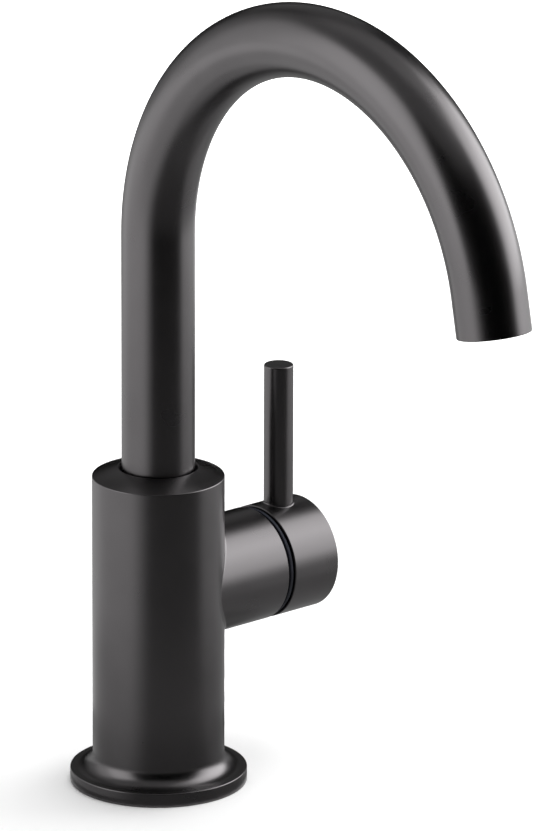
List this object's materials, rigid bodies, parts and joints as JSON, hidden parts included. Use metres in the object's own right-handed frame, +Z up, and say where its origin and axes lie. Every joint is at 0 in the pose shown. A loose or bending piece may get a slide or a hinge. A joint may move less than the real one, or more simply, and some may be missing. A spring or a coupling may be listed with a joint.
{
  "type": "beverage faucet",
  "caption": "Matte black beverage faucet with a swivelling gooseneck spout and a quarter-turn valve worked by a rod lever on its side.",
  "frame": {"origin": "centre of the foot's underside, where it stands on the deck", "axes": "+Z up, the spout reaches towards -Y, the handle is on the +X side and its lever points up"},
  "size_m": [0.0845, 0.1863, 0.3376],
  "materials": {
    "black_finish": "satin black coating over brass",
    "brass": "machined",
    "acetal": "natural acetal",
    "black_acetal": "moulded black acetal",
    "rubber": "matt rubber",
    "stainless": "stamped stainless steel",
    "ceramic": "lapped alumina ceramic"
  },
  "bodies": {
    "root": {"body_shell": "black_finish", "waterway_core": "brass", "spout_guide_bush": "black_acetal", "spout_thrust_washer": "acetal", "deck_gasket": "rubber", "mounting_shank": "brass", "friction_washer": "rubber", "clamp_washer": "stainless", "mounting_nut": "brass", "inlet_tube": "brass", "inlet_o_ring": "rubber", "inlet_strainer": "stainless", "cartridge_housing": "brass", "seat_seal": "rubber", "fixed_disc": "ceramic", "cartridge_o_ring": "rubber", "cartridge_nut": "brass", "handle_trim_ring": "black_acetal"},
    "spout": {"spout_tube": "black_finish", "swivel_stub": "brass", "upper_spout_o_ring": "rubber", "lower_spout_o_ring": "rubber", "spout_snap_ring": "acetal", "outlet_insert": "brass", "aerator_shell": "black_acetal", "aerator_insert": "acetal", "aerator_seal": "rubber"},
    "handle": {"handle_barrel": "black_finish", "lever_rod": "black_finish", "handle_set_screw": "stainless", "valve_stem": "brass", "moving_disc": "ceramic", "inner_stem_o_ring": "rubber", "outer_stem_o_ring": "rubber"}
  },
  "joints": [
    {"name": "spout_swivel", "type": "hinge", "parent": "root", "child": "spout", "pos_m": [0, 0, 0.086], "axis": [0, 0, 1], "continuous": true},
    {"name": "handle_turn", "type": "hinge", "parent": "root", "child": "handle", "pos_m": [0.03, 0, 0.0609], "axis": [1, 0, 0], "range_deg": [0, 90]}
  ]
}
